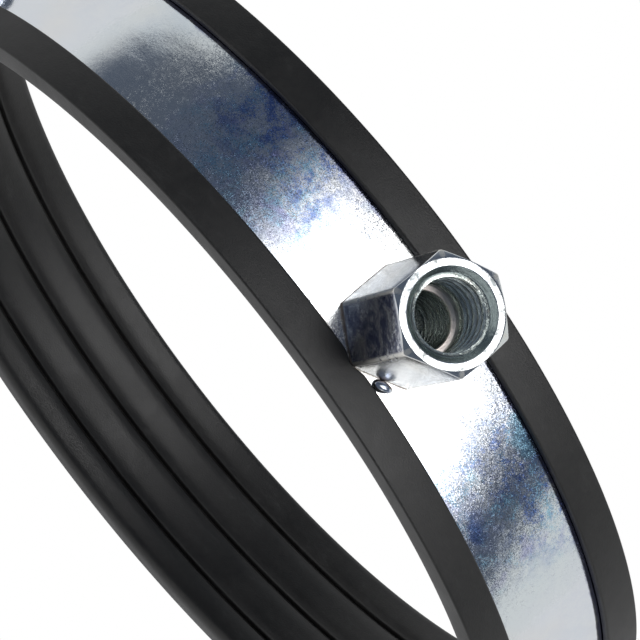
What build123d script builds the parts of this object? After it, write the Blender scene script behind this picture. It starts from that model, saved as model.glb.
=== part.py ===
from build123d import *
import os
from math import asin, degrees, radians, sqrt, tan

# Two-piece pipe clamp with a rubber lining and a welded hexagon boss, in millimetres.
# Origin: centre of the pipe seat. +Y runs along the pipe, +Z out through the boss and
# +X towards the right-hand ears. The lower half unscrews along -Z.

# Pipe seat and lining
pipe_diameter = 124.0  # pipe held when the seat is round, over the crests of the ribs
web_thickness = 1.6  # lining between strip and pipe, over a rib
side_wall = 2.0  # lining beside each edge of the strip
lip_thickness = 1.1  # lining over the outer face of the strip
lip_cover = 3.0  # reach of each lip over the strip
lining_clearance = 0.05  # between lining and strip, all round
lining_gap = 7.0  # between the ends of the two linings
lip_relief = 0.5  # from the end of a lip to the bend of the ear
boss_relief = 0.1  # between the lips and the boss with its welds
seat_corner_radius = 2.0  # rounding between side face and seat
lip_chamfer = 0.3  # broken edges of the lips
groove_count = 3
groove_pitch = 6.8
groove_width = 3.0
groove_depth = 1.0
rib_chamfer = 0.4  # broken edge where a groove meets its ribs

# Steel bands
strip_width = 20.0
strip_thickness = 2.0
ear_gap = 6.0  # between facing ears when the seat is round
bend_radius = 2.0  # inside radius of the bend into an ear
screw_offset = 12.0  # from the strip's outer face to a screw axis
ear_overhang = 8.5  # from a screw axis to the tip of the ear
ear_corner_radius = 5.0
gusset_reach = 5.5  # length of a pressed gusset along each leg of its bend
gusset_radius = 3.2  # outside radius of the gusset's ridge

# Hexagon boss with a stepped thread, M10 over M8
boss_across_flats = 13.0
boss_height = 18.0  # from the strip's outer face
boss_turn = 32.2  # angle of a corner from +X, as welded
boss_chamfer_angle = 30.0
boss_face_radius = 6.38  # of the flat ring round the mouth
boss_mouth_radius = 5.5
mouth_shelf_radius = 4.8  # where the mouth's cone meets the flat shelf above the thread
mouth_shelf_depth = 0.85
large_thread_radius = 4.25  # tapping bore of M10
large_thread_depth = 10.0
small_thread_radius = 3.4  # tapping bore of M8
step_chamfer = 0.3
bead_radius = 0.95
bead_length = 3.3
bead_offset = 0.3  # from the boss flat to the bead's axis
bead_shift = 0.9  # from the middle of the flat, along it

# Closing screws, M6
screw_radius = 3.0
screw_length = 25.0
screw_tip_chamfer = 0.7
screw_head_across_flats = 10.0
screw_head_height = 4.0
screw_seat_clearance = 0.05  # under the head
slot_width = 1.3
slot_depth = 1.8
recess_span = 5.4
recess_arm = 1.5
recess_depth = 2.6
recess_taper = 12.0
tapped_clearance = 0.05  # between screw and tapped collar
shank_clearance = 0.35  # between screw and the plain hole of the lower ear
collar_wall = 1.5
collar_height = 2.5
keeper_radius = 4.8  # plastic washer that keeps the screw in the lower ear
keeper_thickness = 1.0
keeper_chamfer = 0.2
keeper_clearance = 0.1  # between washer and ear, and between washer and thread

# Radii from the seat outwards
seat_radius = pipe_diameter / 2
strip_inner_radius = seat_radius + web_thickness
strip_outer_radius = strip_inner_radius + strip_thickness
strip_middle_radius = strip_inner_radius + strip_thickness / 2
lip_radius = strip_outer_radius + lip_thickness
clamp_width = strip_width + 2 * side_wall

# Places along the ear
screw_x = strip_outer_radius + screw_offset
ear_tip = screw_x + ear_overhang
ear_inner_face = ear_gap / 2
ear_middle = ear_inner_face + strip_thickness / 2
ear_outer_face = ear_inner_face + strip_thickness
bend_middle_radius = bend_radius + strip_thickness / 2
bend_height = ear_middle + bend_middle_radius
bend_x = sqrt((strip_middle_radius + bend_middle_radius) ** 2 - bend_height**2)
boss_top = strip_outer_radius + boss_height
beyond = 2 * ear_tip  # longer than the clamp, for cutting tools


def lining_profile():
    """Ribbed U section of the lining: x is the radius, y lies along the pipe."""
    with BuildSketch() as profile:
        with Locations(((seat_radius + lip_radius) / 2, 0)):
            Rectangle(lip_radius - seat_radius, clamp_width)
        corners = profile.vertices().group_by(Axis.X)
        fillet(corners[0], seat_corner_radius)
        chamfer(corners[-1], lip_chamfer)
        with Locations((strip_middle_radius, 0)):
            Rectangle(
                strip_thickness + 2 * lining_clearance,
                strip_width + 2 * lining_clearance,
                mode=Mode.SUBTRACT,
            )
        with Locations((lip_radius, 0)):
            Rectangle(2 * lip_thickness, strip_width - 2 * lip_cover, mode=Mode.SUBTRACT)
        chamfer(profile.vertices().group_by(Axis.X)[-1].sort_by(Axis.Y)[1:-1], lip_chamfer)
        with GridLocations(0, groove_pitch, 1, groove_count):
            with Locations((seat_radius, 0)):
                Polygon(
                    (0, -groove_width / 2),
                    (groove_depth, 0),
                    (0, groove_width / 2),
                    align=None,
                    mode=Mode.SUBTRACT,
                )
        mouths = profile.vertices().group_by(Axis.X)[0].sort_by(Axis.Y)[1:-1]
        chamfer(mouths, rib_chamfer)
    return profile.sketch


def upper_lining():
    """Lining of the upper half, its lips notched where the boss and its welds stand."""
    lining = half_lining() - boss_hexagon(boss_relief)
    for turn in (0, 180):
        lining -= Rot(Z=turn) * bead_capsule(boss_relief)
    return lining


def half_lining():
    """Lining of one half, cut off square at both ends, its lips clear of the ears."""
    ring = revolve(lining_profile(), Axis.Y)
    upper_side = Pos(0, 0, lining_gap / 2) * Box(
        beyond, beyond, beyond, align=(Align.CENTER, Align.CENTER, Align.MIN)
    )
    past_bend = Pos(0, 0, bend_height + lip_relief) * Box(
        beyond, beyond, beyond, align=(Align.CENTER, Align.CENTER, Align.MAX)
    )
    within_lips = Rot(X=90) * Cylinder(strip_outer_radius - lining_clearance, beyond)
    return ring & upper_side - (past_bend - within_lips)


def bent_strip():
    """Half ring of strip, bent outwards into a flat ear at both sides."""
    lift = degrees(asin(bend_height / (strip_middle_radius + bend_middle_radius)))
    with BuildPart() as strip:
        with BuildSketch(Plane.XZ):
            with BuildLine():
                CenterArc((0, 0), strip_middle_radius, lift, 180 - 2 * lift)
                for side in (1, -1):
                    start = 180 + lift if side > 0 else -lift
                    CenterArc((side * bend_x, bend_height), bend_middle_radius, start, side * (90 - lift))
                    Line((side * bend_x, ear_middle), (side * ear_tip, ear_middle))
            trace(line_width=strip_thickness)
        extrude(amount=strip_width / 2, both=True)
        tips = strip.edges().filter_by(Axis.Z).filter_by_position(Axis.Z, ear_inner_face, ear_outer_face)
        fillet(tips, ear_corner_radius)
    return strip.part


def gusset():
    """Ridge pressed outwards across the bend of the right ear, and the hollow behind it."""
    foot = Vector(strip_outer_radius + gusset_reach, 0, ear_outer_face)
    head_height = ear_outer_face + gusset_reach
    head = Vector(sqrt(strip_outer_radius**2 - head_height**2), 0, head_height)
    along = (head - foot).normalized()
    inward = along.cross(Vector(0, 1, 0))
    axis_plane = Plane((foot + head) / 2 + inward * gusset_radius, x_dir=along, z_dir=inward)
    length = (head - foot).length + 2 * gusset_radius
    with BuildPart() as ridge:
        with BuildSketch(Plane.XZ):
            Polygon(
                (foot.X, foot.Z),
                (head.X, head.Z),
                (head.X - strip_thickness / 2, head.Z),
                (strip_outer_radius - strip_thickness / 2, ear_middle),
                (foot.X, ear_middle),
                align=None,
            )
        extrude(amount=gusset_radius, both=True)
        with Locations(axis_plane):
            Cylinder(gusset_radius, length, rotation=(0, 90, 0), mode=Mode.INTERSECT)
    hollow_radius = gusset_radius - strip_thickness
    with BuildPart() as hollow:
        with Locations(axis_plane):
            Cylinder(hollow_radius, length, rotation=(0, 90, 0))
            Box(
                length,
                2 * hollow_radius,
                2 * strip_thickness,
                align=(Align.CENTER, Align.CENTER, Align.MIN),
            )
    return ridge.part, hollow.part


def upper_half_band():
    """Strip with gussets, in the place of the upper half; its ears have no holes yet."""
    ridge, hollow = gusset()
    band = bent_strip() + ridge + mirror(ridge, Plane.YZ)
    return band - hollow - mirror(hollow, Plane.YZ)


def upper_band():
    """Upper half band, each ear with a collar drawn up around its tapped hole."""
    collar_base = Pos(0, 0, ear_middle)
    collar = Cylinder(
        screw_radius + tapped_clearance + collar_wall,
        collar_height + strip_thickness / 2,
        align=(Align.CENTER, Align.CENTER, Align.MIN),
    )
    tapped_hole = Cylinder(screw_radius + tapped_clearance, beyond)
    band = upper_half_band()
    for side in (1, -1):
        band += Pos(side * screw_x, 0, 0) * collar_base * collar
        band -= Pos(side * screw_x, 0, 0) * tapped_hole
    return band


def lower_band():
    """Lower half band, each ear with a plain hole for its screw."""
    band = mirror(upper_half_band(), Plane.XY)
    for side in (1, -1):
        band -= Pos(side * screw_x, 0, 0) * Cylinder(screw_radius + shank_clearance, beyond)
    return band


def boss_hexagon(growth=0.0):
    """Hexagon bar that the boss is cut from, standing on the strip's outer face."""
    outline = Rot(Z=boss_turn) * RegularPolygon(boss_across_flats / 2 + growth, 6, major_radius=False)
    return extrude(outline, boss_top) - strip_envelope()


def strip_envelope():
    """Everything inside the strip's outer face."""
    return Rot(X=90) * Cylinder(strip_outer_radius, beyond)


def boss_nut():
    """Hexagon boss: seat curved to the strip, chamfered top, M10 bore stepping down to M8."""
    chamfer_slope = tan(radians(boss_chamfer_angle))
    limit_radius = boss_across_flats
    corner_drop = (limit_radius - boss_face_radius) * chamfer_slope
    shelf = boss_top - mouth_shelf_depth
    step = boss_top - large_thread_depth
    with BuildPart() as limits:
        with BuildSketch(Plane.XZ):
            Polygon(
                (0, 0),
                (limit_radius, 0),
                (limit_radius, boss_top - corner_drop),
                (boss_face_radius, boss_top),
                (0, boss_top),
                align=None,
            )
            Polygon(
                (0, 0),
                (small_thread_radius, 0),
                (small_thread_radius, step - step_chamfer),
                (small_thread_radius + step_chamfer, step),
                (large_thread_radius, step),
                (large_thread_radius, shelf),
                (mouth_shelf_radius, shelf),
                (boss_mouth_radius, boss_top),
                (0, boss_top),
                align=None,
                mode=Mode.SUBTRACT,
            )
        revolve(axis=Axis.Z)
    return boss_hexagon() & limits.part


def bead_capsule(growth=0.0):
    """Round-ended bar along the foot of the flat that faces the front right."""
    radius = bead_radius + growth
    straight = bead_length - 2 * bead_radius
    capsule = Rot(Y=90) * Cylinder(radius, straight)
    for side in (1, -1):
        capsule += Pos(side * straight / 2, 0, 0) * Sphere(radius)
    reach = boss_across_flats / 2 + bead_offset
    return Rot(Z=boss_turn) * Pos(bead_shift, -reach, strip_outer_radius) * capsule


def weld_bead():
    """Short bead of weld that fills the corner between the boss and the strip."""
    return bead_capsule() - boss_hexagon() - strip_envelope()


def closing_screw():
    """M6 hexagon screw, head down under the lower ear, with a slot crossed by a recess."""
    head_top = -ear_outer_face - screw_seat_clearance
    head_end = head_top - screw_head_height
    flat_radius = screw_head_across_flats / 2
    chamfer_slope = tan(radians(boss_chamfer_angle))
    with BuildPart() as screw:
        with BuildSketch(Plane.XY.offset(head_end)):
            RegularPolygon(flat_radius, 6, major_radius=False)
        extrude(amount=screw_head_height)
        with BuildSketch(Plane.XZ):
            Polygon(
                (0, head_end),
                (flat_radius, head_end),
                (2 * flat_radius, head_end + flat_radius * chamfer_slope),
                (2 * flat_radius, head_top),
                (0, head_top),
                align=None,
            )
        revolve(axis=Axis.Z, mode=Mode.INTERSECT)
        with Locations((0, 0, head_top)):
            Cylinder(screw_radius, screw_length, align=(Align.CENTER, Align.CENTER, Align.MIN))
        chamfer(screw.faces().sort_by(Axis.Z)[-1].edges(), screw_tip_chamfer)
        with Locations((0, 0, head_end)):
            Box(beyond, slot_width, 2 * slot_depth, mode=Mode.SUBTRACT)
        with BuildSketch(Plane.XY.offset(head_end)):
            for turn in (0, 90):
                Rectangle(recess_span, recess_arm, rotation=turn)
        extrude(amount=recess_depth, taper=recess_taper, mode=Mode.SUBTRACT)
    return screw.part


def keeper_washer():
    """Plastic washer gripping the screw on the inner side of the lower ear."""
    with BuildPart() as washer:
        with Locations((0, 0, keeper_clearance - ear_inner_face)):
            Cylinder(keeper_radius, keeper_thickness, align=(Align.CENTER, Align.CENTER, Align.MIN))
            Cylinder(screw_radius + keeper_clearance, beyond, mode=Mode.SUBTRACT)
        rims = washer.edges().filter_by(GeomType.CIRCLE).group_by(SortBy.RADIUS)[-1]
        chamfer(rims, keeper_chamfer)
    return washer.part


def clamp_parts():
    """Every piece by the name of its node."""
    right = Pos(screw_x, 0, 0)
    left = Pos(-screw_x, 0, 0)
    bead = weld_bead()
    return {
        "upper_band": upper_band(),
        "lower_band": lower_band(),
        "upper_lining": upper_lining(),
        "lower_lining": mirror(half_lining(), Plane.XY),
        "boss_nut": boss_nut(),
        "weld_bead_front": bead,
        "weld_bead_back": Rot(Z=180) * bead,
        "closing_screw_right": right * closing_screw(),
        "closing_screw_left": left * closing_screw(),
        "keeper_washer_right": right * keeper_washer(),
        "keeper_washer_left": left * keeper_washer(),
    }


os.makedirs("parts", exist_ok=True)
for name, piece in clamp_parts().items():
    export_step(piece, f"parts/{name}.step")
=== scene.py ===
import math
import bpy
import bmesh
import numpy as np
from mathutils import Matrix, Vector


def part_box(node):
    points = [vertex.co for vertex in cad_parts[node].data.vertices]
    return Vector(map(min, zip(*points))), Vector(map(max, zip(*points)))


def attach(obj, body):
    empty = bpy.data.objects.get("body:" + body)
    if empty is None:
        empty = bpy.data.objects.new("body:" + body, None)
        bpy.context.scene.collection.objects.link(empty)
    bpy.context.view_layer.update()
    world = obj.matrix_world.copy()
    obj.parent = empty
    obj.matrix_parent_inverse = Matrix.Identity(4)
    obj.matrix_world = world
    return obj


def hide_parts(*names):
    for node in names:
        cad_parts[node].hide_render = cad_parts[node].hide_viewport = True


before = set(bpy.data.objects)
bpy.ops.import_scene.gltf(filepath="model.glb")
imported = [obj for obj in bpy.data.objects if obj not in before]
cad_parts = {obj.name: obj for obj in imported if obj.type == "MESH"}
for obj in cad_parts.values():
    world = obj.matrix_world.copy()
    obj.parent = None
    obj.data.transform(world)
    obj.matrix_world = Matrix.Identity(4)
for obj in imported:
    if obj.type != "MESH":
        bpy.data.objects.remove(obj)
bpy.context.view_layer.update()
mm = 0.001
print("frame loaded")


def frameBox(node):
    # lowest and highest corner of a node of the CAD, in millimetres
    low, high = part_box(node)
    return np.array(low) / mm, np.array(high) / mm


# sizes that several pieces share, in millimetres; the arcs have their middle on the Y axis
lipRadius = frameBox("upper_lining")[1][2]
halfWidth = frameBox("upper_lining")[1][1]
liningEnd = frameBox("upper_lining")[0][2]
stripRadius = frameBox("upper_band")[1][2]
stripHalfWidth = frameBox("upper_band")[1][1]
earTip = frameBox("upper_band")[1][0]
earInner = frameBox("upper_band")[0][2]
bossTop = frameBox("boss_nut")[1][2]
screwX = sum(corner[0] for corner in frameBox("closing_screw_right")) / 2
stripThickness = 2.0
stripInner = stripRadius - stripThickness
seatRadius = 62.0  # the pipe's surface


def softened(corners, radii, steps=5):
    # each corner of a closed outline becomes a quadratic curve that leaves it by its radius
    corners = np.asarray(corners, float)
    reach = np.broadcast_to(np.asarray(radii, float), corners.shape[:-1])[..., None]

    def leave(neighbour):
        leg = neighbour - corners
        length = np.maximum(np.linalg.norm(leg, axis=-1, keepdims=True), 1e-9)
        return corners + leg / length * np.minimum(reach, 0.45 * length)

    first = leave(np.roll(corners, 1, -2))[..., None, :]
    last = leave(np.roll(corners, -1, -2))[..., None, :]
    middle = corners[..., None, :]
    t = np.linspace(0, 1, steps)[:, None]
    curve = (1 - t) ** 2 * first + 2 * t * (1 - t) * middle + t**2 * last
    return curve.reshape(*corners.shape[:-2], -1, 2)


def gridPatch(points, closeRows=False, closeCols=False, keep=None, climb=0):
    # points is rows x cols x 3; keep is a mask over the quads between them, and climb is how
    # many rows a helix has gone down when its last column meets the first
    rows, cols = points.shape[:2]
    r, c = np.meshgrid(
        np.arange(rows - (not closeRows)), np.arange(cols - (not closeCols)), indexing="ij"
    )
    if keep is not None:
        r, c = r[keep], c[keep]
    r2, c2 = (r + 1) % rows, (c + 1) % cols
    drop = np.where(c2 == 0, climb, 0)
    far, far2 = np.maximum(r - drop, 0), np.maximum(r2 - drop, 0)
    quads = np.stack([r * cols + c, far * cols + c2, far2 * cols + c2, r2 * cols + c], -1)
    return points.reshape(-1, 3), quads.reshape(-1, 4).tolist()


def capPatch(loop):
    # one flat face over a closed loop of points
    return np.asarray(loop), [list(range(len(loop)))]


def buildMesh(name, patches, crease=35, flow=None):
    # joins the patches, closes their seams and marks edges sharper than crease degrees
    points, faces = [], []
    for patchPoints, patchFaces in patches:
        start = sum(len(p) for p in points)
        points.append(patchPoints)
        faces += [[start + i for i in face] for face in patchFaces]
    mesh = bpy.data.meshes.new(name)
    mesh.from_pydata(np.concatenate(points) * mm, [], faces)
    if flow is not None:
        layer = mesh.attributes.new("flow", "FLOAT_VECTOR", "POINT")
        layer.data.foreach_set("vector", (np.concatenate(flow) * mm).astype(np.float32).ravel())
    bm = bmesh.new()
    bm.from_mesh(mesh)
    bmesh.ops.remove_doubles(bm, verts=bm.verts, dist=2e-7)
    bmesh.ops.dissolve_degenerate(bm, dist=1e-8, edges=bm.edges)
    bmesh.ops.recalc_face_normals(bm, faces=bm.faces)
    bm.to_mesh(mesh)
    bm.free()
    mesh.shade_smooth()
    mesh.set_sharp_from_angle(angle=math.radians(crease))
    return mesh


def addPiece(name, mesh, material, body, node):
    # an object for the mesh, riding its body in place of its node of the CAD
    piece = bpy.data.objects.new(name, mesh)
    bpy.context.scene.collection.objects.link(piece)
    mesh.materials.append(material)
    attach(piece, body)
    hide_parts(node)
    return piece


def halfTurned(points):
    # turns points half way round +Y, which takes the upper half onto the lower one
    return points * np.array([-1.0, 1.0, -1.0])


class Socket:
    # an output on its way through a material; arithmetic on it adds Math nodes
    def __init__(self, finish, output):
        self.math = finish.math
        self.output = output

    def __add__(self, other):
        return self.math("ADD", self, other)

    def __radd__(self, other):
        return self.math("ADD", other, self)

    def __sub__(self, other):
        return self.math("SUBTRACT", self, other)

    def __rsub__(self, other):
        return self.math("SUBTRACT", other, self)

    def __mul__(self, other):
        return self.math("MULTIPLY", self, other)

    def __rmul__(self, other):
        return self.math("MULTIPLY", other, self)

    def __neg__(self):
        return self.math("MULTIPLY", self, -1.0)

    def __pow__(self, other):
        return self.math("POWER", self, other)


class Finish:
    # the node tree of a material, or of the world, under construction
    def __init__(self, owner):
        self.owner = owner
        owner.use_nodes = True
        self.tree = owner.node_tree
        self.tree.nodes.clear()

    def add(self, kind, settings=None, sockets=None, output=0):
        # any node, by its type, its settings and what its sockets take: values or other sockets
        node = self.tree.nodes.new(kind)
        for key, value in (settings or {}).items():
            if key == "stops":
                setStops(node.color_ramp, value)
            else:
                setattr(node, key, value)
        for key, value in (sockets or {}).items():
            if isinstance(value, Socket):
                self.tree.links.new(value.output, node.inputs[key])
            else:
                node.inputs[key].default_value = value
        return Socket(self, node.outputs[output])

    def math(self, operation, a, b=0.0):
        return self.add("ShaderNodeMath", {"operation": operation}, {0: a, 1: b})

    def vector(self, operation, *operands):
        sockets = dict(enumerate(operands))
        return self.add("ShaderNodeVectorMath", {"operation": operation}, sockets, "Vector")

    def place(self, scale=(1, 1, 1)):
        # place in the object, in metres, stretched by scale
        start = self.add("ShaderNodeTexCoord", output="Object")
        return self.add("ShaderNodeMapping", None, {"Vector": start, "Scale": scale})

    def flow(self, scale=(1, 1, 1)):
        # place along, across and through the strip, from the attribute that bandMesh writes
        start = self.add("ShaderNodeAttribute", {"attribute_name": "flow"}, output="Vector")
        return self.add("ShaderNodeMapping", None, {"Vector": start, "Scale": scale})

    def axes(self, where):  # its X, Y and Z
        return [self.add("ShaderNodeSeparateXYZ", None, {0: where}, axis) for axis in "XYZ"]

    def crystals(self, where, scale):
        # a flat random colour for each grain
        return self.add("ShaderNodeTexVoronoi", None, {"Vector": where, "Scale": scale}, "Color")

    def channel(self, color, name):
        return self.add("ShaderNodeSeparateColor", None, {0: color}, name)

    def ray(self, name):
        return self.add("ShaderNodeLightPath", output=name)

    def noise(self, where, scale, detail=3.0, roughness=0.5, distortion=0.0):
        # cloudy value about one half, with scale clouds to the metre
        values = {"Vector": where, "Scale": scale, "Detail": detail}
        values.update({"Roughness": roughness, "Distortion": distortion})
        return self.add("ShaderNodeTexNoise", None, values, "Fac")

    def ramp(self, factor, stops):  # colour from stops of a position and a colour
        return self.add("ShaderNodeValToRGB", {"stops": stops}, {"Fac": factor}, "Color")

    def between(self, factor, low, high):
        # 0 at low, 1 at high, and smooth between; low may be the larger
        values = {"Value": factor, "From Min": low, "From Max": high}
        kind = {"interpolation_type": "SMOOTHSTEP"}
        return self.add("ShaderNodeMapRange", kind, values, "Result")

    def blend(self, factor, a, b):
        # colour a where factor is 0, and b where it is 1
        node = {"data_type": "RGBA"}
        return self.add("ShaderNodeMix", node, {0: factor, 6: a, 7: b}, 2)

    def bump(self, height, distance, strength=1.0, normal=None):
        # normal of a surface raised by height times distance, on top of another normal
        values = {"Height": height, "Distance": distance, "Strength": strength}
        if normal is not None:
            values["Normal"] = normal
        return self.add("ShaderNodeBump", None, values, "Normal")

    def finish(self, shader, kind="ShaderNodeOutputMaterial"):
        # joins the shader to the output and gives the finished material or world
        out = self.tree.nodes.new(kind)
        self.tree.links.new(shader.output, out.inputs["Surface"])
        return self.owner

    def surface(self, sockets):  # a material of one Principled shader
        return self.finish(self.add("ShaderNodeBsdfPrincipled", None, sockets, "BSDF"))


def setStops(ramp, stops):
    # the colours of a ramp, from pairs of a position and a colour
    while len(ramp.elements) > 1:
        ramp.elements.remove(ramp.elements[-1])
    for index, (position, color) in enumerate(stops):
        stop = ramp.elements[0] if index == 0 else ramp.elements.new(position)
        stop.position = position
        stop.color = (*color, 1)


rubberLook = {  # linear colours, here and below
    "dark": (0.0068, 0.0063, 0.0060), "light": (0.020, 0.0185, 0.017),
    "scuff": (0.05, 0.05, 0.05), "roughness": 0.40,
}


def rubberFinish():
    # matt black rubber: cloudy grey bloom, streaky scuffs across the lips and a fine grain
    f = Finish(bpy.data.materials.new("lining_rubber"))
    where = f.place()
    cloud = f.noise(where, 130, 4, 0.6, 0.6)
    grain = f.noise(where, 4200, 2, 0.6)
    streak = f.noise(f.place((1, 3.2, 1)), 210, 5, 0.7, 1.2)
    mottle = f.noise(where, 1100, 3, 0.65)
    stops = [(0.3, rubberLook["dark"]), (0.75, rubberLook["light"])]
    color = f.ramp(cloud * 0.5 + mottle * 0.5, stops)
    scuffed = f.between(streak, 0.50, 0.75) * f.between(cloud, 0.35, 0.7) * 0.5
    color = f.blend(scuffed, color, (*rubberLook["scuff"], 1))
    rough = f.between(cloud, 0.2, 0.8) * 0.10 + scuffed * 0.3 + rubberLook["roughness"]
    normal = f.bump(grain, 0.00004, 0.6)
    normal = f.bump(f.noise(where, 420, 3), 0.00006, 0.4, normal)
    return f.surface({"Base Color": color, "Roughness": rough, "Normal": normal, "IOR": 1.5})


zincLook = {
    "clean": (0.80, 0.83, 0.86), "cream": (0.86, 0.84, 0.79), "grey": (0.80, 0.83, 0.88),
    "navy": (0.14, 0.24, 0.62), "teal": (0.32, 0.64, 0.84), "violet": (0.52, 0.50, 0.82),
    # rim is a painted shade colour: the dark line on the strip along the band's far lip
    # stain is the dark film colour; on one boss flat it is laid on thick as a painted reflection of
    # the black lip
    # the pale corner colour is partly worn plating and partly a painted highlight
    "rim": (0.10, 0.11, 0.26), "stain": (0.055, 0.07, 0.16), "wornAndHighlight": (0.90, 0.88, 0.83),
    "bore": (0.86, 0.94, 0.89), "mouth": (0.40, 0.47, 0.47), "ledge": (0.92, 0.83, 0.78),
    # root is a dark colour for real smudges and pits, and also for painted shade in the bore
    "root": (0.07, 0.085, 0.085), "brown": (0.30, 0.19, 0.11),
}


def tinted(name):
    # a colour of the plate, with full alpha
    return (*zincLook[name], 1)


def leaning(f, crystal, amount, normal):
    # turns the normal of each crystal a little its own way
    lean = f.vector("SUBTRACT", crystal, (0.5, 0.5, 0.5))
    values = {"Vector": lean, "Scale": amount}
    lean = f.add("ShaderNodeVectorMath", {"operation": "SCALE"}, values, "Vector")
    return f.vector("NORMALIZE", f.vector("ADD", lean, normal))


def plated(f, where, scale, amount, creamFrom=0.45):
    # the bare plate under any stain: clean zinc with creamy patches
    patches = f.between(f.noise(where, scale, 3), creamFrom, 0.7) * amount
    return f.blend(patches, tinted("clean"), tinted("cream"))


bandLook = {
    "grain": 10000, "heatFrom": 0.011, "heatTo": 0.034, "calmFrom": 0.034, "calmTo": 0.046,
    "burntTo": 0.0105, "flecksTo": 0.046, "lipShadeFrom": 0.0062, "smooth": 0.07,
    "spots": [((0.0208, 0.0063), "teal"), ((0.0262, -0.0045), "navy")],
}


def bandFinish():
    # Passivated zinc on rolled strip: fine crystals that each lean and tint a little their own
    # way, blued by the weld's heat in a cloudy band each side of the boss, most on the far half.
    f = Finish(bpy.data.materials.new("band_zinc"))
    look = bandLook
    where = f.flow()
    run, across = f.axes(where)[:2]
    along = f.math("ABSOLUTE", run)
    crystal = f.crystals(where, look["grain"])
    shade, spark = f.channel(crystal, "Red"), f.channel(crystal, "Blue")
    cloud = f.noise(where, 230, 6, 0.7, 0.5)
    fine = f.noise(where, 1300, 3, 0.7, 0.3)

    # where the heat has blued the plate
    wander = (f.noise(where, 160, 4, 0.6) - 0.5) * 0.016
    heated = f.between(along + wander, look["heatFrom"], look["heatFrom"] + 0.009)
    heated = heated * f.between(along + wander, look["heatTo"] + 0.005, look["heatTo"] - 0.003)
    speck = cloud + (shade - 0.5) * 0.16 + (fine - 0.5) * 0.35
    farSide = f.between(across + wander * 0.6, -0.005, 0.003) * 0.65 + 0.35
    tint = f.blend(f.between(speck, 0.42, 0.60) * farSide, tinted("grey"), tinted("navy"))
    teal = f.noise(where, 330, 4, 0.6) + shade * 0.25 + f.between(along, 0.031, 0.023) * 0.04
    tint = f.blend(f.between(teal, 0.66, 0.88) * 0.8, tint, tinted("teal"))
    violet = f.between(f.noise(where, 250, 3, 0.5, 0.8), 0.56, 0.72) * 0.6
    tint = f.blend(violet, tint, tinted("violet"))
    color = f.blend(heated * 0.9 + 0.05, plated(f, where, 60, 0.6), tint)

    # two small spots of deeper colour, a painted shade line along the far lip, pits and the burnt
    # foot
    for (spotRun, spotAcross), tone in look["spots"]:
        squeezed = {0: f.flow((0.5, 1, 1)), 1: (spotRun * 0.5, spotAcross, 0)}
        away = f.add("ShaderNodeVectorMath", {"operation": "DISTANCE"}, squeezed, "Value")
        spot = f.between(away + (cloud - 0.5) * 0.006, 0.0022, 0.0006) * 0.8
        color = f.blend(spot, color, tinted(tone))
    # painted shade: a dark navy line on the strip along the far lip, standing in for the lip's
    # shadow and its reflection
    rim = across + (cloud - 0.5) * 0.0016
    rim = f.between(rim, look["lipShadeFrom"], look["lipShadeFrom"] + 0.0006) * f.between(along, 0.006, 0.014)
    color = f.blend(rim * 0.8, color, tinted("rim"))
    color = f.blend(f.between(spark, 0.35, 0.0) * heated * 0.6, color, tinted("root"))
    burnt = f.between(f.noise(where, 420, 3), 0.35, 0.7) * 0.5 + 0.5
    burnt = burnt * f.between(along, look["burntTo"], look["burntTo"] - 0.0025)
    color = f.blend(burnt * 0.5, color, tinted("cream"))

    # some crystals are duller, most near the strip's edges
    fleck = f.between(shade, 0.50, 0.90) * f.between(fine, 0.40, 0.66)
    fleck = fleck * f.between(along, look["flecksTo"], look["flecksTo"] - 0.006)
    edge = f.between(f.math("ABSOLUTE", across), 0.0048, 0.0070) * 0.12
    rough = fleck * (edge + 0.26) + f.between(cloud, 0.3, 0.7) * 0.04 + burnt * 0.16
    rough = rough + look["smooth"]

    # rolling waves, finer ripples, and the lean of each crystal, the lean calmer away from the boss
    normal = f.bump(f.noise(f.flow((1, 2, 1)), 45, 2, 0.4), 0.00022, 0.6)
    normal = f.bump(f.noise(f.flow((1, 1.4, 1)), 150, 2, 0.5), 0.00005, 0.6, normal)
    normal = f.bump(f.noise(f.flow((1, 1.6, 1)), 1500, 3, 0.6), 0.000007, 0.6, normal)
    calm = f.between(along, look["calmTo"], look["calmFrom"]) * 0.8 + 0.2
    grit = f.between(f.noise(where, 380, 3, 0.6), 0.3, 0.7) * 0.05 + 0.03
    normal = leaning(f, crystal, grit * calm, normal)
    return f.surface({
        "Base Color": color, "Metallic": 1.0, "Roughness": rough, "Normal": normal})


bossLook = {
    "corner": 32.2, "wornAndHighlightFrom": 0.55, "wornAndHighlightTo": 0.12, "paintedDarkFlat": (-0.466, -0.885),
    "boreRadius": 5.45, "mouthDepth": 0.84, "crest": 4.28, "root": 4.80,
    "step": 10.0, "stepBack": 0.85, "foot": 66.3, "grain": 5200, "smooth": 0.13,
}


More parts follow.
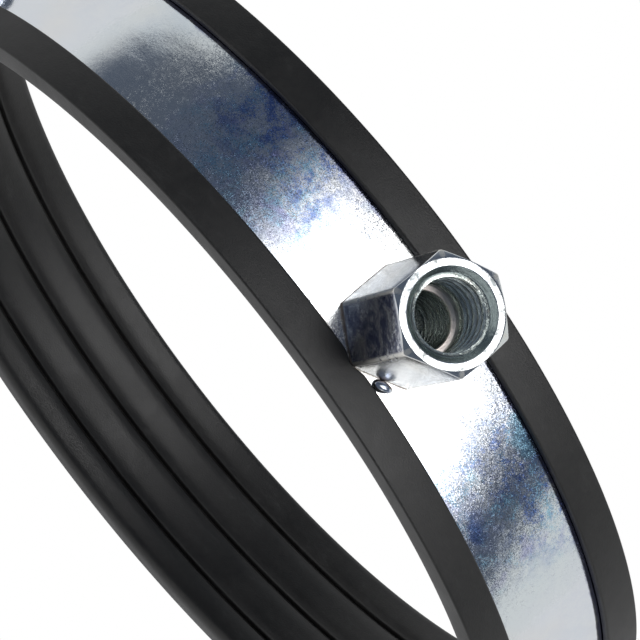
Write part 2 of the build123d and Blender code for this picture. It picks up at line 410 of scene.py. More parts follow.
def bossFinish():
    # Plated hexagon bar with a light mottled film, one flat of it painted dark as a reflection of
    # the black lip, pale corners that are partly wear and partly a painted highlight, a smudged
    # face ring, a greener bore with pale crests and dark roots that are partly stain and partly
    # painted shade, and a brown line at the weld.
    f = Finish(bpy.data.materials.new("boss_zinc"))
    look = bossLook
    where = f.place()
    x, y, high = [axis * 1000 for axis in f.axes(where)]
    depth = bossTop - high
    radius = f.math("SQRT", x * x + y * y)
    crystal = f.crystals(where, look["grain"])
    shade = f.channel(crystal, "Red")
    cloud = f.noise(where, 420, 4, 0.6, 0.5)
    inside = f.between(radius, look["boreRadius"] + 0.1, look["boreRadius"] - 0.05)
    outside = 1 - inside

    # the flats: a mottled film, one flat painted dark as a reflection of the lip, worn corners with
    # a painted highlight, smudges on the face
    color = plated(f, where, 150, 0.5, 0.4)
    # painted reflection: the flat facing the given direction is darkened almost fully, as if
    # mirroring the black lip; the other flats keep a light real film
    towardPaintedDarkFlat = x * look["paintedDarkFlat"][0] + y * look["paintedDarkFlat"][1]
    paintedDarkFlat = f.between(towardPaintedDarkFlat, radius * 0.84, radius * 0.89) * 0.9 + 0.12
    filmAndReflection = cloud * 0.6 + f.noise(where, 1300, 4, 0.7) * 0.4 + shade * 0.08
    filmAndReflection = f.between(filmAndReflection, 0.40, 0.62) * f.between(depth, 0.1, 0.9) * outside * paintedDarkFlat
    color = f.blend(filmAndReflection, color, tinted("stain"))
    # pale corners: partly worn plating and partly a painted highlight of the lamp on their rounding
    sixths = (f.math("ARCTAN2", y, x) - math.radians(look["corner"])) * (3 / math.pi)
    wrap = {0: sixths, 1: 0.5, 2: -0.5}
    fromCorner = f.math("ABSOLUTE", f.add("ShaderNodeMath", {"operation": "WRAP"}, wrap)) * 7.5
    wornAndHighlight = f.between(fromCorner, look["wornAndHighlightFrom"], look["wornAndHighlightTo"])
    wornAndHighlight = wornAndHighlight * f.between(radius, 6.3, 6.6) * f.between(cloud, 0.25, 0.5)
    color = f.blend(wornAndHighlight, color, tinted("wornAndHighlight"))
    smudge = f.between(f.noise(where, 700, 4, 0.65), 0.42, 0.70)
    smudge = smudge * f.between(depth, 0.03, 0.01) * outside
    color = f.blend(smudge * 0.85, color, tinted("root"))

    # the bore: thread roots darkened partly as stain and partly as painted shade, turning rings,
    # more painted shade in the small bore, the mouth, a little rust and the ledge
    deep = f.between(depth, look["step"] + 0.05, look["step"] + 0.3)
    rings = f.noise(f.place((1, 1, 9)), 520, 4, 0.7, 0.3)
    rootStainAndShade = f.between(radius + deep * look["stepBack"], look["crest"], look["root"])
    bore = f.blend(rootStainAndShade, tinted("bore"), tinted("root"))
    bore = f.blend(f.between(rings, 0.48, 0.62) * 0.6, bore, tinted("root"))
    # painted shade: the small bore below the step is darkened, as shade deep in the hole
    bore = f.blend(deep * 0.6, bore, tinted("root"))
    mouth = f.between(depth, look["mouthDepth"] + 0.02, look["mouthDepth"] - 0.02)
    bore = f.blend(mouth, bore, tinted("mouth"))
    rust = f.between(f.noise(where, 480, 4, 0.6), 0.56, 0.70) * (1 - mouth)
    bore = f.blend(rust * 0.3, bore, tinted("brown"))
    ledge = f.between(depth, look["step"] - 0.06, look["step"] - 0.02) * (1 - deep)
    bore = f.blend(ledge, bore, tinted("ledge"))
    color = f.blend(inside, color, bore)
    foot = f.between(high + cloud * 0.8, look["foot"] + 0.5, look["foot"] - 0.1) * outside
    color = f.blend(foot * 0.8, color, tinted("brown"))

    rough = shade * 0.04 + wornAndHighlight * 0.16 + f.between(depth, 0.05, 0.3) * outside * 0.04
    rough = rough + inside * 0.10 + ledge * inside * 0.12 + smudge * 0.15 + foot * 0.2
    rough = rough + look["smooth"]
    normal = f.bump(cloud, 0.00003, 0.35)
    normal = f.bump(f.noise(where, 1500, 3, 0.6), 0.000016, 0.45, normal)
    normal = f.bump(rings * inside, 0.00006, 0.9, normal)
    normal = leaning(f, crystal, inside * 0.09 + 0.03, normal)
    metallic = 1 - filmAndReflection * (1 - wornAndHighlight) * 0.22
    return f.surface({
        "Base Color": color, "Metallic": metallic, "Roughness": rough, "Normal": normal})


smallLook = {
    "screw_zinc": {"stain": 0.3, "glitter": 0.04, "smooth": 0.14},
    "weld_metal": {"stain": 0.5, "glitter": 0.03, "smooth": 0.08},
}


def smallFinish(name):
    # bright zinc plate on the screws, and the weld's bare metal, with a light bluish stain
    f = Finish(bpy.data.materials.new(name))
    look = smallLook[name]
    where = f.place()
    cloud = f.noise(where, 240, 4, 0.6, 0.4)
    crystal = f.crystals(where, 6000)
    shade = f.channel(crystal, "Red")
    deeper = f.between(f.noise(where, 500, 3) + shade * 0.25, 0.56, 0.76)
    tint = f.blend(deeper, tinted("grey"), tinted("navy"))
    amount = f.between(cloud + (shade - 0.5) * 0.5, 0.30, 0.62) * look["stain"]
    color = f.blend(amount, plated(f, where, 160, 0.6), tint)
    rough = shade * 0.05 + f.between(cloud, 0.3, 0.7) * 0.04 + look["smooth"]
    normal = f.bump(f.noise(where, 900, 3, 0.6), 0.00001, 0.4)
    normal = leaning(f, crystal, look["glitter"], normal)
    return f.surface({
        "Base Color": color, "Metallic": 1.0, "Roughness": rough, "Normal": normal})


def plasticFinish():
    # off-white moulded plastic, faintly cloudy, with a fine grain
    f = Finish(bpy.data.materials.new("keeper_plastic"))
    where = f.place()
    stops = [(0.3, (0.78, 0.78, 0.72)), (0.7, (0.86, 0.86, 0.82))]
    color = f.ramp(f.noise(where, 300, 3), stops)
    normal = f.bump(f.noise(where, 1500, 2), 0.00002, 0.3)
    return f.surface({"Base Color": color, "Roughness": 0.42, "Normal": normal})


rubber = rubberFinish()
bandZinc = bandFinish()
bossZinc = bossFinish()
screwZinc = smallFinish("screw_zinc")
weldMetal = smallFinish("weld_metal")
plastic = plasticFinish()
print("finishes made")


bandShape = {  # millimetres, and counts of cells
    "edge": 0.2, "crown": 0.10, "crownHalf": 7.0, "bendRadius": 2.0, "tipRadius": 5.0,
    "gussetReach": 5.5, "gussetRadius": 3.2, "gussetBlend": 0.12,
    "collarWall": 1.5, "collarHeight": 2.5, "tappedRadius": 3.05, "plainRadius": 3.35,
    "acrossStep": 0.49, "halfCells": 20, "edgeCells": 4, "patchCells": 11, "arcRows": 112,
}


def bandPath():
    # The middle line of the strip's right half, an arc that runs into the bend and the bend
    # into the ear: its points, its outward directions and the row where the hole's block starts.
    s = bandShape
    middle = stripRadius - stripThickness / 2
    earMiddle = earInner + stripThickness / 2
    bend = s["bendRadius"] + stripThickness / 2
    bendZ = earMiddle + bend
    lift = math.asin(bendZ / (middle + bend))
    bendX = (middle + bend) * math.cos(lift)
    arc = np.linspace(0, math.pi / 2 - lift, s["arcRows"])
    around = np.linspace(math.pi + lift, 1.5 * math.pi, 14)[1:]
    cell = s["acrossStep"]
    holeRun = screwX + cell * np.arange(-s["patchCells"], s["patchCells"] + 1)
    approach = np.linspace(bendX, holeRun[0], 10)[1:-1]
    tipRun = np.linspace(0, math.pi / 2, 12)
    straightEnd = earTip - s["tipRadius"]
    beyondHole = straightEnd + s["tipRadius"] * np.sin(tipRun)
    beyondHole = beyondHole[beyondHole > holeRun[-1] + 0.1]
    run = np.concatenate([approach, holeRun, beyondHole])
    x = np.concatenate([middle * np.sin(arc), bendX + bend * np.cos(around), run])
    level = np.full(len(run), earMiddle)
    z = np.concatenate([middle * np.cos(arc), bendZ + bend * np.sin(around), level])
    outX = np.concatenate([np.sin(arc), -np.cos(around), np.zeros(len(run))])
    outZ = np.concatenate([np.cos(arc), -np.sin(around), np.ones(len(run))])
    holeStart = len(arc) + len(around) + len(approach)
    return np.stack([x, z], -1), np.stack([outX, outZ], -1), holeStart


def sectionRows(halfWidthHere):
    # across positions and thickness offsets of the strip's section, outer face then inner face
    s = bandShape
    edge = s["edge"]
    inner = np.arange(-s["halfCells"], s["halfCells"] + 1) * s["acrossStep"]
    turn = np.linspace(0, math.pi / 2, s["edgeCells"] + 1)[1:]
    sideY = stripHalfWidth - edge + edge * np.sin(turn)
    drop = edge * (1 - np.cos(turn))
    y = np.concatenate([-sideY[::-1], inner, sideY])
    n = stripThickness / 2 - np.concatenate([drop[::-1], np.zeros(len(inner)), drop])
    scale = halfWidthHere[:, None] / stripHalfWidth
    across = np.concatenate([y, y[::-1]])[None] * scale
    return across, np.concatenate([n, -n[::-1]])


def gussetPush(path, outward, across):
    # Moves the bend towards the straight line between the gusset's foot and head. Away from
    # the middle the push fades as the height of a circle of the gusset's radius.
    s = bandShape
    outer = path + outward * stripThickness / 2
    foot = np.array([stripRadius + s["gussetReach"], earInner + stripThickness])
    headZ = foot[1] + s["gussetReach"]
    head = np.array([math.sqrt(stripRadius**2 - headZ**2), headZ])
    u = ((head - foot) * (outer - foot)).sum(-1) / ((head - foot) ** 2).sum()
    onLine = foot + np.clip(u, 0, 1)[:, None] * (head - foot)
    gap = onLine - outer
    depth = np.where((u > 0) & (u < 1), np.linalg.norm(gap, axis=-1), 0)
    radius = s["gussetRadius"]
    sink = radius - np.sqrt(np.maximum(radius**2 - across**2, 0))
    raw = depth[:, None] - sink
    soft = 0.5 * (raw + np.sqrt(raw**2 + s["gussetBlend"]))
    soft = soft - 0.5 * (np.sqrt(depth**2 + s["gussetBlend"]) - depth)[:, None]
    push = np.clip(np.where(depth[:, None] > 0, soft, 0), 0, None)
    push = np.where(np.abs(across) < radius * 1.1, push, 0)
    return gap[:, None, :] / np.maximum(depth, 1e-6)[:, None, None] * push[..., None]


def bandMesh(name, collared, lower):
    # the section swept along the right half, mirrored for the left, with a hole in each ear
    s = bandShape
    path, outward, holeStart = bandPath()
    steps = np.linalg.norm(np.diff(path, axis=0), axis=-1)
    length = np.concatenate([[0], np.cumsum(steps)])
    tipStart = earTip - s["tipRadius"]
    past = np.clip(path[:, 0] - tipStart, 0, s["tipRadius"])
    rounded = s["tipRadius"] - np.sqrt(s["tipRadius"] ** 2 - past**2)
    narrowing = np.where(path[:, 0] > tipStart, rounded, 0)
    across, offset = sectionRows(stripHalfWidth - narrowing)
    push = gussetPush(path, outward, across)
    domed = s["crown"] * (across / s["crownHalf"]) ** 2 * (offset > 0)
    domed = np.where(np.abs(across) < s["crownHalf"], domed, s["crown"])
    offset = offset - domed * (path[:, 0] < stripInner)[:, None]
    flat = path[:, None, :] + outward[:, None, :] * offset[..., None] + push
    right = np.stack([flat[..., 0], across, flat[..., 1]], -1)
    holeEnd = holeStart + 2 * s["patchCells"]
    cols = right.shape[1]
    middleCol = s["edgeCells"] + s["halfCells"]
    firstCol, lastCol = middleCol - s["patchCells"], middleCol + s["patchCells"]
    r, c = np.meshgrid(np.arange(len(path) - 1), np.arange(cols), indexing="ij")
    inRows = (r >= holeStart) & (r < holeEnd)
    outerCols = (c >= firstCol) & (c < lastCol)
    mirrored = cols - 1 - c
    innerCols = (mirrored > firstCol) & (mirrored <= lastCol)
    keep = ~(inRows & (outerCols | innerCols))
    runOf = np.repeat(length[:, None], cols, 1)
    offset = offset + np.zeros_like(across)
    toEar = length[holeStart] - path[holeStart, 0]
    patches, flow = [], []
    for side in (1, -1):
        flip = np.array([side, 1, 1])
        patches.append(gridPatch(right * flip, closeCols=True, keep=keep))
        flow.append(np.stack([side * runOf, across, offset], -1).reshape(-1, 3))
        tip = right[-1] * flip
        half = cols // 2
        patches.append(gridPatch(np.stack([tip[:half], tip[half:][::-1]])))
        flow.append(tip * [0, 1, 0] + [side * length[-1], 0, 0])
        outerBlock = right[holeStart:holeEnd + 1, firstCol:lastCol + 1] * flip
        ring = collarRings(outerBlock, side, collared)
        patches.append(gridPatch(ring, closeCols=True))
        flow.append((ring * [1, 1, 0]).reshape(-1, 3) + [side * toEar, 0, 0])
    if lower:
        patches = [(halfTurned(points), faces) for points, faces in patches]
    return buildMesh(name, patches, 40, flow)


def blockEdge(block):
    # the points round the edge of a square block of the grid, once round
    return np.concatenate([block[0, :-1], block[:-1, -1], block[-1, :0:-1], block[:0:-1, 0]])


def collarRings(block, side, collared):
    # rings from the square block on the outer face, over the hole's wall, to the inner face
    s = bandShape
    edge = blockEdge(block)
    centre = np.array([side * screwX, 0.0])
    spoke = edge[:, :2] - centre
    away = np.linalg.norm(spoke, axis=-1)
    direction = spoke / away[:, None]
    top = earInner + stripThickness
    if collared:
        bore = s["tappedRadius"]
        wall = bore + s["collarWall"]
        rim = top + s["collarHeight"]
        outline = [
            (wall + 0.7, top), (wall, top), (wall - 0.1, rim), (bore, rim),
            (bore, earInner), (bore + 0.6, earInner)]
        radii = [0, 0.6, 0.25, 0.25, 0.35, 0]
    else:
        bore = s["plainRadius"]
        outline = [(bore + 0.6, top), (bore, top), (bore, earInner), (bore + 0.6, earInner)]
        radii = [0, 0.2, 0.2, 0]
    profile = softened(outline, radii, 6)
    spread = np.linspace(1, 0, 6)[:-1, None]
    outerReach = profile[0, 0] + (away[None] - profile[0, 0]) * spread
    innerReach = outerReach[::-1]
    reach = np.concatenate([outerReach, np.repeat(profile[:, :1], len(edge), 1), innerReach])
    flat = np.ones(len(spread))
    height = np.concatenate([flat * top, profile[:, 1], flat * earInner])
    return np.stack([
        centre[0] + direction[:, 0] * reach, direction[:, 1] * reach,
        np.repeat(height[:, None], len(edge), 1)], -1)


upperBand = bandMesh("upper_band_steel", True, False)
lowerBand = bandMesh("lower_band_steel", False, True)
addPiece("upper_band_steel", upperBand, bandZinc, "upper_half", "upper_band")
addPiece("lower_band_steel", lowerBand, bandZinc, "lower_half", "lower_band")
print("bands made")


liningShape = {  # millimetres, and the number of rows round the arc
    "groovePitch": 6.8, "shoulder": 1.7, "throat": 0.38, "throatDepth": 0.42, "grooveDepth": 1.3,
    "nearCorner": 2.9, "farCorner": 1.0, "lipCover": 3.0, "clearance": 0.02, "notch": 7.5,
    "bossGive": 0.62, "bossSpread": 1.1, "arcRows": 240,
}


def liningSection():
    # closed section, (across, radius): seat with its grooves, side, lip, and back under the strip
    s = liningShape
    pitch, shoulder, throat = s["groovePitch"], s["shoulder"], s["throat"]
    throatRadius, rootRadius = seatRadius + s["throatDepth"], seatRadius + s["grooveDepth"]
    lipEdge = stripHalfWidth - s["lipCover"]
    half = [
        (0, rootRadius, 0.12), (throat, throatRadius, 0.3), (shoulder, seatRadius, 1.01),
        (pitch - shoulder, seatRadius, 1.01), (pitch - throat, throatRadius, 0.3),
        (pitch, rootRadius, 0.12), (pitch + throat, throatRadius, 0.3),
        (pitch + shoulder, seatRadius, 1.01), (halfWidth, seatRadius, s["farCorner"]),
        (halfWidth, lipRadius, 0.3), (lipEdge, lipRadius, 0.3),
        (lipEdge, stripRadius + s["clearance"], 0.15),
        (stripHalfWidth, stripRadius + s["clearance"], 0.05), (stripHalfWidth, stripInner, 0.05),
    ]
    mirrored = [(-y, r, s["nearCorner"] if c == s["farCorner"] else c) for y, r, c in half[:0:-1]]
    corners = np.array(half + mirrored)
    return softened(corners[:, :2], corners[:, 2], 7)


def liningMesh(name, lower):
    # The section carried round the ring. Above the notch height it is whole, and from there to
    # the flat end its lips fold down to the strip's face, where the ear's bend needs the room.
    s = liningShape
    section = liningSection()
    across, radius = section[:, 0], section[:, 1]
    u = np.linspace(-1, 1, s["arcRows"])
    angle = u[:, None] * np.arccos(s["notch"] / radius)
    acrossRows = np.broadcast_to(across, angle.shape)
    full = np.stack([radius * np.sin(angle), acrossRows, radius * np.cos(angle)], -1)
    foldedRadius = np.minimum(radius, stripRadius)
    beside = np.sign(across) * np.maximum(np.abs(across), stripHalfWidth)
    foldedAcross = np.where(radius > stripRadius + 0.01, beside, across)
    ends = []
    for height in (liningEnd, s["notch"]):
        x = np.sqrt(foldedRadius**2 - height**2)
        ends.append(np.stack([x, foldedAcross, np.full(len(x), height)], -1))
    flip = np.array([-1, 1, 1])
    points = np.concatenate([[ends[0] * flip, ends[1] * flip], full, [ends[1], ends[0]]])
    if not lower:  # the boss's corners press the lips outwards
        x, y, z = points[..., 0], points[..., 1], points[..., 2]
        onLip = (radius > stripRadius - 0.2) & (np.abs(across) < stripHalfWidth) & (z > 0)
        give = s["bossGive"] * np.exp(-((x / s["bossSpread"]) ** 2))
        reach = np.clip((stripHalfWidth - np.abs(y)) / s["lipCover"], 0, 1)
        points[..., 1] += np.where(onLip, np.sign(y) * give * reach, 0)
    patches = [gridPatch(points, closeCols=True), capPatch(points[0]), capPatch(points[-1])]
    if lower:
        patches = [(halfTurned(p), faces) for p, faces in patches]
    return buildMesh(name, patches, 40)


for half, lower in (("upper", False), ("lower", True)):
    name = half + "_lining_rubber"
    lining = liningMesh(name, lower)
    addPiece(name, lining, rubber, half + "_half", half + "_lining")
print("linings made")


bossShape = {  # radii and heights of the boss in millimetres, and its turn in degrees
    "flat": 6.5, "turn": 32.2, "cornerRound": 0.25, "crown": 0.04, "face": 6.38,
    "chamferSlope": math.tan(math.radians(30)), "easeLength": 1.6, "ease": 0.06, "edge": 0.12,
    "mouth": 5.5, "coneFoot": 4.8, "coneDepth": 0.85, "sunk": 0.05,
    "largeMinor": 4.25, "largeMajor": 5.05, "largePitch": 1.5, "largeEnd": 8.2,
    "stepDepth": 10.0, "stepSlope": 0.08,
    "smallMinor": 3.4, "smallMajor": 4.0, "smallPitch": 1.25,
}
# places over one pitch, crest at 0 and root at one half, closest where the outline turns
threadStations = np.array([
    0.0, 0.08, 0.1, 0.13, 0.27, 0.42, 0.45, 0.5, 0.55, 0.58, 0.73, 0.87, 0.9, 0.92])


def hexOutline(flat, turn, cornerRound, crown, perSide=30, perCorner=7):
    # directions and distances of a hexagon with rounded corners and slightly domed flats
    corner = flat / math.cos(math.pi / 6)
    angles = math.radians(turn) + np.arange(6) * math.pi / 3
    corners = corner * np.stack([np.cos(angles), np.sin(angles)], -1)
    rounded = softened(corners, cornerRound, perCorner).reshape(6, perCorner, 2)
    t = np.linspace(0, 1, perSide)[1:-1, None]
    start, end = rounded[:, -1][:, None], np.roll(rounded, -1, 0)[:, 0][:, None]
    outline = np.concatenate([rounded, start + (end - start) * t], 1).reshape(-1, 2)
    angle = np.arctan2(outline[:, 1], outline[:, 0])
    distance = np.linalg.norm(outline, axis=-1)
    fromFlat = (angle - math.radians(turn)) % (math.pi / 3) / (math.pi / 6) - 1
    return angle, distance - crown * np.abs(fromFlat) ** 4


def threadPatch(phi, top, start, end, pitch, radiusAt, stations):
    # A helicoid whose rows follow the thread: depth grows with the row and falls with the angle.
    # stations are places over one pitch, and radiusAt gives the radius at each place and depth.
    turns = int((end - start) / pitch) + 3
    place = (np.arange(turns)[:, None] + stations[None]).ravel()
    around = (phi - phi[0]) % (2 * math.pi) / (2 * math.pi)
    raw = (place[:, None] - around[None]) * pitch + start - 0.5 * pitch
    depth = np.clip(raw, start, end)
    phase = (depth - start) / pitch + 0.5 + around[None]
    radius = radiusAt(phase % 1.0, depth)
    z = top - depth
    points = np.stack([radius * np.cos(phi), radius * np.sin(phi), z], -1)
    return gridPatch(points, closeCols=True, climb=len(stations)), points[0], points[-1]


def threadRadius(minor, major, crest=0.2, root=0.10):
    # flat crest at phase 0, straight flanks, narrow root at phase one half
    def radiusAt(phase, depth):  # the minor radius, and a share of the rise to the major
        ramp = 0.5 - np.abs(phase - 0.5)
        rise = np.clip((ramp - crest / 2) / (0.5 - crest / 2 - root / 2), 0, 1)
        return minor + (major - minor) * rise
    return radiusAt


def bossMesh():
    # rings up the flats, over the chamfer and into the mouth, then the two threads and the ledge
    s = bossShape
    phi, outer = hexOutline(s["flat"], s["turn"], s["cornerRound"], s["crown"])
    eased = outer - s["ease"]
    chamferDrop = np.maximum(eased - s["face"], 0) * s["chamferSlope"]
    seat = np.sqrt(stripRadius**2 - (outer * np.cos(phi)) ** 2) - s["sunk"]
    innerSeat = np.sqrt(stripRadius**2 - (s["smallMinor"] * np.cos(phi)) ** 2) - s["sunk"]
    ones = np.ones_like(phi)
    shoulder = bossTop - s["easeLength"]
    shelf = s["coneDepth"] + s["sunk"]
    corners = np.stack([
        np.stack([outer, seat], -1),
        np.stack([outer, shoulder * ones], -1),
        np.stack([eased, bossTop - chamferDrop], -1),
        np.stack([np.minimum(eased, s["face"]), bossTop * ones], -1),
        np.stack([s["mouth"] * ones, bossTop * ones], -1),
        np.stack([s["coneFoot"] * ones, (bossTop - s["coneDepth"]) * ones], -1),
        np.stack([s["largeMinor"] * ones, (bossTop - shelf) * ones], -1),
    ], 1)
    radii = [0, s["easeLength"] * 0.8, s["edge"], s["edge"], 0.1, 0.12, 0.02]
    shell = softened(corners, radii, 7).reshape(len(phi), 7, 7, 2)[:, :6].reshape(len(phi), -1, 2)

    bare = threadRadius(s["largeMinor"], s["largeMajor"])

    def largeRadius(phase, depth):
        # the thread's full depth, less where it starts under the shelf and runs out
        start = np.clip((depth - shelf) / 0.3, 0, 1)
        fade = np.clip((s["largeEnd"] + 0.9 - depth) / 1.2, 0, 1) * start
        return s["largeMinor"] + (bare(phase, depth) - s["largeMinor"]) * fade

    ledgeRadius = [s["largeMinor"], s["largeMinor"] - 0.08, s["smallMinor"] + 0.3, s["smallMinor"]]
    ledgeDepth = s["stepDepth"] + np.array([-0.02, 0.0, s["stepSlope"], s["stepSlope"] + 0.35])
    bottom = bossTop - stripRadius - 0.2
    large, mouthRing, ledgeRing = threadPatch(
        phi, bossTop, shelf + 0.06, ledgeDepth[0] - 0.05, s["largePitch"], largeRadius,
        threadStations)
    small, smallRing, lastRing = threadPatch(
        phi, bossTop, ledgeDepth[-1] + 0.02, bottom, s["smallPitch"],
        threadRadius(s["smallMinor"], s["smallMajor"]), threadStations)
    turned = np.stack([np.cos(phi), np.sin(phi)], -1)
    rims = np.concatenate([turned[:, None] * shell[..., :1], shell[..., 1:]], -1).swapaxes(0, 1)
    outside = gridPatch(np.concatenate([rims, mouthRing[None]]), closeCols=True)
    ledge = []
    for radius, depth in zip(ledgeRadius, ledgeDepth):
        ledge.append(np.concatenate([turned * radius, (bossTop - depth) * ones[:, None]], -1))
    step = gridPatch(np.stack([ledgeRing, *ledge, smallRing]), closeCols=True)
    foot = np.concatenate([turned * s["smallMinor"], innerSeat[:, None]], -1)
    under = gridPatch(np.stack([lastRing, foot, rims[0]]), closeCols=True)
    return buildMesh("boss_zinc_hexagon", [outside, large, step, small, under], 28)


beadShape = {
    "radius": 0.75, "length": 2.7, "taper": 0.25, "offset": 0.75, "shift": 0.75, "lift": -0.25,
}


def beadMesh(name, turn):
    # a capsule lying along the foot of a flat, one end drawn out thinner than the other
    s = beadShape
    u = np.linspace(0, math.pi, 26)[:, None]
    v = np.linspace(0, 2 * math.pi, 41)[None, :-1]
    girth = s["radius"] * np.sin(u) * (1 + s["taper"] * np.cos(u))
    x = -np.cos(u) * s["length"] / 2 + 0 * v
    y = girth * np.cos(v) - bossShape["flat"] - s["offset"]
    z = girth * np.sin(v) + stripRadius + s["lift"]
    local = np.stack([x + s["shift"], y, z], -1)
    a = math.radians(bossShape["turn"] + turn)
    spin = np.array([[math.cos(a), math.sin(a), 0], [-math.sin(a), math.cos(a), 0], [0, 0, 1]])
    return buildMesh(name, [gridPatch(local @ spin, closeCols=True)], 60)


addPiece("boss_zinc_hexagon", bossMesh(), bossZinc, "upper_half", "boss_nut")
for side, turn in (("front", 0), ("back", 180)):
    bead = beadMesh("weld_" + side + "_bead", turn)
    node = "weld_bead_" + side
    addPiece("weld_" + side + "_bead", bead, weldMetal, "upper_half", node)
print("boss made")


screwShape = {  # millimetres, and the taper in degrees
    "flat": 5.0, "chamferFrom": 4.9, "cornerReach": 5.71, "headHeight": 4.0,
    "neck": 2.7, "neckLength": 1.2,
    "major": 3.0, "minor": 2.39, "pitch": 1.0, "tipRadius": 2.3, "tipLength": 0.7,
    "slot": 1.3, "slotDepth": 1.8, "slotRound": 0.15,
    "recessSpan": 5.4, "recessArm": 1.5, "recessDepth": 2.6, "recessTaper": 12,
}
# lines of the head's grid from its middle out, closest at the slot's lips
headLines = np.array([
    0, 0.1, 0.2, 0.34, 0.48, 0.6, 0.64, 0.66, 0.7, 0.75, 0.82, 0.92, 1.1, 1.3, 1.5, 1.7, 1.85,
    2.0, 2.15, 2.28, 2.42, 2.56, 2.7, 2.82, 3.0, 3.2])
screwStations = np.array([0.0, 0.06, 0.25, 0.39, 0.5, 0.61, 0.75, 0.94])


def headSink(x, y):
    # depth under the head's face: the deeper of the slot with its rounded lips, the tapered
    # cross, and the chamfer outside its circle
    s = screwShape
    past = np.clip((np.abs(y) - s["slot"] / 2) / s["slotRound"], 0, 1)
    lip = s["slotRound"] * (1 - np.sqrt(1 - (1 - past) ** 2))
    slot = np.where(np.abs(y) < s["slot"] / 2, s["slotDepth"], lip)
    arm, span = s["recessArm"] / 2, s["recessSpan"] / 2
    lengthwise = np.minimum(arm - np.abs(y), span - np.abs(x))
    inside = np.maximum(lengthwise, np.minimum(arm - np.abs(x), span - np.abs(y)))
    cross = np.clip(inside / math.tan(math.radians(s["recessTaper"])), 0, s["recessDepth"])
    past = np.hypot(x, y) - s["chamferFrom"]
    chamfer = 0.5 * (past + np.sqrt(past**2 + 0.01)) * math.tan(math.radians(30))
    return np.maximum(np.maximum(slot, cross), chamfer)


def headRings(edge):
    # rings from the square core of the head's face out to its hexagon; columns near the slot
    # keep their distance from its middle, the others run along radii
    s = screwShape
    x, y = np.abs(edge[:, 0]), np.abs(edge[:, 1])
    radial = np.arctan2(y, x)
    free = np.where(x < y, 1.0, np.clip((y - 1.0) / 1.6, 0, 1))
    free = free**2 * (3 - 2 * free)
    rings = []
    for reach in (4.0, 4.5, 4.8, 4.97, None):
        level = np.arcsin(np.clip(y / (reach or s["cornerReach"]), 0, 1))
        angle = level * (1 - free) + radial * free
        fromFlat = (angle % (math.pi / 3)) - math.pi / 6
        limit = np.minimum(s["flat"] / np.cos(fromFlat), s["cornerReach"])
        radius = limit if reach is None else np.minimum(reach, limit - 0.05)
        turned = np.stack([np.cos(angle), np.sin(angle)], -1)
        rings.append(np.sign(edge) * radius[:, None] * turned)
    return rings


def screwMesh(name, node):
    # head face as a height over a square grid and its rings, then sides, neck and thread
    s = screwShape
    low, high = frameBox(node)
    axis = np.array([(low[0] + high[0]) / 2, 0, 0])
    face, tip, seat = low[2], high[2], low[2] + s["headHeight"]
    lines = np.concatenate([-headLines[:0:-1], headLines])
    x, y = np.meshgrid(lines, lines, indexing="ij")
    core = np.stack([x, y, face + headSink(x, y)], -1)
    loop = blockEdge(core)[::-1]
    rings = [loop]
    for ring in headRings(loop[:, :2]):
        rings.append(np.concatenate([ring, face + headSink(ring[:, :1], ring[:, 1:])], -1))
    outline = rings[-1]
    for height, inset in ((seat - 0.12, 0), (seat - 0.03, 0.03), (seat, 0.14)):
        shrink = 1 - inset / np.linalg.norm(outline[:, :2], axis=-1, keepdims=True)
        level = np.full((len(outline), 1), height)
        rings.append(np.concatenate([outline[:, :2] * shrink, level], -1))
    phi = np.arctan2(loop[:, 1], loop[:, 0])
    bare = threadRadius(s["major"], s["minor"], 0.12, 0.22)
    length = tip - seat

    def radiusAt(phase, depth):
        # the thread under the cone of the tip, faded out towards the neck
        cone = s["tipRadius"] + depth * (s["major"] - s["tipRadius"]) / s["tipLength"]
        cut = np.minimum(bare(phase, depth), cone)
        fade = np.clip((length - s["neckLength"] - depth) / 0.6, 0, 1)
        return s["neck"] + (cut - s["neck"]) * fade

    thread, tipRing, neckRing = threadPatch(
        phi, tip, 0, length, s["pitch"], radiusAt, screwStations)
    sides = gridPatch(np.stack(rings + [neckRing]), closeCols=True)
    patches = [gridPatch(core), sides, thread, capPatch(tipRing)]
    return buildMesh(name, [(points + axis, faces) for points, faces in patches], 32)


keeperShape = {"bore": 3.1, "lip": 0.35, "edge": 0.25}


def keeperMesh(name, node):
    # a thin closed section turned about the screw's axis, thinner next to the screw
    s = keeperShape
    low, high = frameBox(node)
    axis = np.array([(low[0] + high[0]) / 2, 0, 0])
    outer = (high[0] - low[0]) / 2
    bottom, top = low[2], high[2]
    corners = [
        (s["bore"], bottom), (outer, bottom), (outer, top), (s["bore"] + 0.7, top),
        (s["bore"] + 0.3, top - s["lip"]), (s["bore"], top - s["lip"])]
    section = softened(corners, [0.05, s["edge"], s["edge"], 0.15, 0.15, 0.08], 5)
    phi = np.linspace(0, 2 * math.pi, 97)[:-1, None]
    level = section[:, 1] + 0 * phi
    points = np.stack([section[:, 0] * np.cos(phi), section[:, 0] * np.sin(phi), level], -1)
    return buildMesh(name, [gridPatch(points + axis, closeRows=True, closeCols=True)], 50)


for side in ("right", "left"):
    screwNode, keeperNode = "closing_screw_" + side, "keeper_washer_" + side
    screw = screwMesh("screw_" + side, screwNode)
    addPiece("screw_" + side, screw, screwZinc, side + "_screw", screwNode)
    keeper = keeperMesh("keeper_" + side, keeperNode)
    addPiece("keeper_" + side, keeper, plastic, side + "_screw", keeperNode)
print("screws made")


cameraSetup = {  # metres and millimetres of film
    "place": (-0.052337, -0.121743, 0.415709),
    "right": (0.575412, 0.751961, 0.321645),
    "down": (0.808389, -0.582606, -0.084129),
    "lens": 179.975, "sensor": 36.0,
}


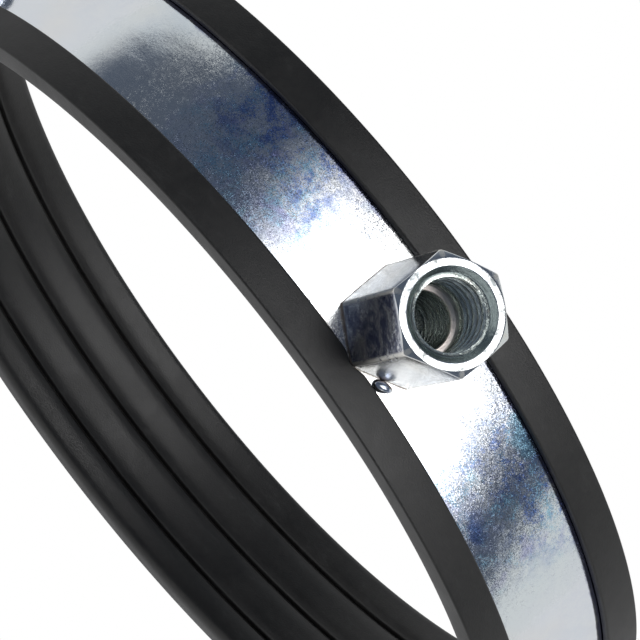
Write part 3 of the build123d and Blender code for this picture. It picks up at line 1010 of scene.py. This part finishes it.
def addCamera():
    # a long lens at its place, its axes along the right and down of the picture
    data = bpy.data.cameras.new("camera")
    data.lens = cameraSetup["lens"]
    data.sensor_width = cameraSetup["sensor"]
    data.clip_end = 50
    camera = bpy.data.objects.new("camera", data)
    bpy.context.scene.collection.objects.link(camera)
    right = Vector(cameraSetup["right"]).normalized()
    up = -Vector(cameraSetup["down"]).normalized()
    back = right.cross(up)
    turn = Matrix((right, up, back)).transposed().to_4x4()
    camera.matrix_world = Matrix.Translation(cameraSetup["place"]) @ turn
    bpy.context.scene.camera = camera


floorSetup = {"level": -0.16, "half": 6.0, "paint": (0.8, 0.8, 0.8, 1), "inMirrors": 0.5}


def addFloor():
    # a wide floor of pale paint that is white for the camera and half white in mirrors
    low, half = floorSetup["level"], floorSetup["half"]
    mesh = bpy.data.meshes.new("floor")
    corners = [(-half, -half, low), (half, -half, low), (half, half, low), (-half, half, low)]
    mesh.from_pydata(corners, [], [(0, 1, 2, 3)])
    floor = bpy.data.objects.new("floor", mesh)
    bpy.context.scene.collection.objects.link(floor)
    f = Finish(bpy.data.materials.new("floor"))
    paint = f.add("ShaderNodeBsdfDiffuse", None, {"Color": floorSetup["paint"]}, "BSDF")
    glow = f.add("ShaderNodeEmission", None, {"Color": (1, 1, 1, 1), "Strength": 1.0}, "Emission")
    white = f.ray("Is Camera Ray") + f.ray("Is Glossy Ray") * floorSetup["inMirrors"]
    mixed = f.add("ShaderNodeMixShader", None, {0: white, 1: paint, 2: glow}, "Shader")
    mesh.materials.append(f.finish(mixed))


studio = {  # turns in degrees from straight up towards +X; leans are the Y part of a direction
    "lamp": {
        "turn": 7.2, "skew": 77, "lean": 0.21, "halfTurn": 41.6, "halfLean": 0.210,
        "rim": 1.29, "core": 0.40, "glow": 4.8},
    "fill": {
        "turn": 32, "skew": 0, "lean": 0.0, "halfTurn": 18, "halfLean": 0.15,
        "rim": 1.2, "core": 0.6, "glow": 0.95},
    "skewFrom": 0.33, "skewTo": 0.22, "wallLean": 0.27,
    "ceiling": (0.080, 0.098, 0.132),
    "left": {"turn": 97, "slant": 300, "stop": 0.38, "edge": 8, "color": (0.62, 0.66, 0.68)},
    "right": {"turn": 73, "slant": 110, "stop": 0.38, "edge": 5, "color": (0.69, 0.72, 0.71)},
    "haze": {"height": 0.15, "color": (0.70, 0.72, 0.72)},
    "front": {"rise": 0.45, "edge": 0.15, "from": -0.2, "to": -0.5, "color": (0.8, 0.8, 0.8)},
}


def addWorld():
    # The room, by direction: pale walls left, right and in front of a dark ceiling, haze by the
    # horizon, then the small fill lamp and the softbox, a slanted square with round corners.
    # The camera itself sees white.
    world = bpy.data.worlds.new("studio")
    bpy.context.scene.world = world
    f = Finish(world)
    direction = f.add("ShaderNodeTexCoord", output="Generated")
    x, y, z = f.axes(direction)
    turn = f.math("ARCTAN2", x, z) * math.degrees(1)
    color = (*studio["ceiling"], 1)
    front = studio["front"]
    height = f.between(z, front["rise"] + front["edge"], front["rise"] - front["edge"])
    height = height * f.between(y, front["from"], front["to"])
    color = f.blend(height, color, (*front["color"], 1))
    for wall, away in (("left", -turn), ("right", turn)):
        w = studio[wall]
        slanted = (f.math("MINIMUM", y, w["stop"]) - studio["wallLean"]) * w["slant"]
        limit = w["turn"] - slanted
        mask = f.between(away - limit, -w["edge"], w["edge"])
        color = f.blend(mask, color, (*w["color"], 1))
    haze = f.between(z, studio["haze"]["height"], 0.0)
    color = f.blend(haze, color, (*studio["haze"]["color"], 1))
    for name in ("fill", "lamp"):
        lamp = studio[name]
        skew = (studio["skewFrom"] - f.math("MAXIMUM", y, studio["skewTo"])) * lamp["skew"]
        across = (turn - lamp["turn"] - skew) * (1 / lamp["halfTurn"])
        along = (y - lamp["lean"]) * (1 / lamp["halfLean"])
        reach = f.math("SQRT", f.math("SQRT", across ** 4.0 + along ** 4.0))
        mask = f.between(reach, lamp["rim"], lamp["core"]) ** 2.0
        color = f.blend(mask, color, (*(lamp["glow"],) * 3, 1))
    color = f.blend(f.ray("Is Camera Ray"), color, (1, 1, 1, 1))
    room = f.add("ShaderNodeBackground", None, {"Color": color, "Strength": 1.0}, "Background")
    f.finish(room, "ShaderNodeOutputWorld")


addCamera()
addFloor()
addWorld()
print("stage set")

bpy.context.scene.view_settings.view_transform = "Standard"
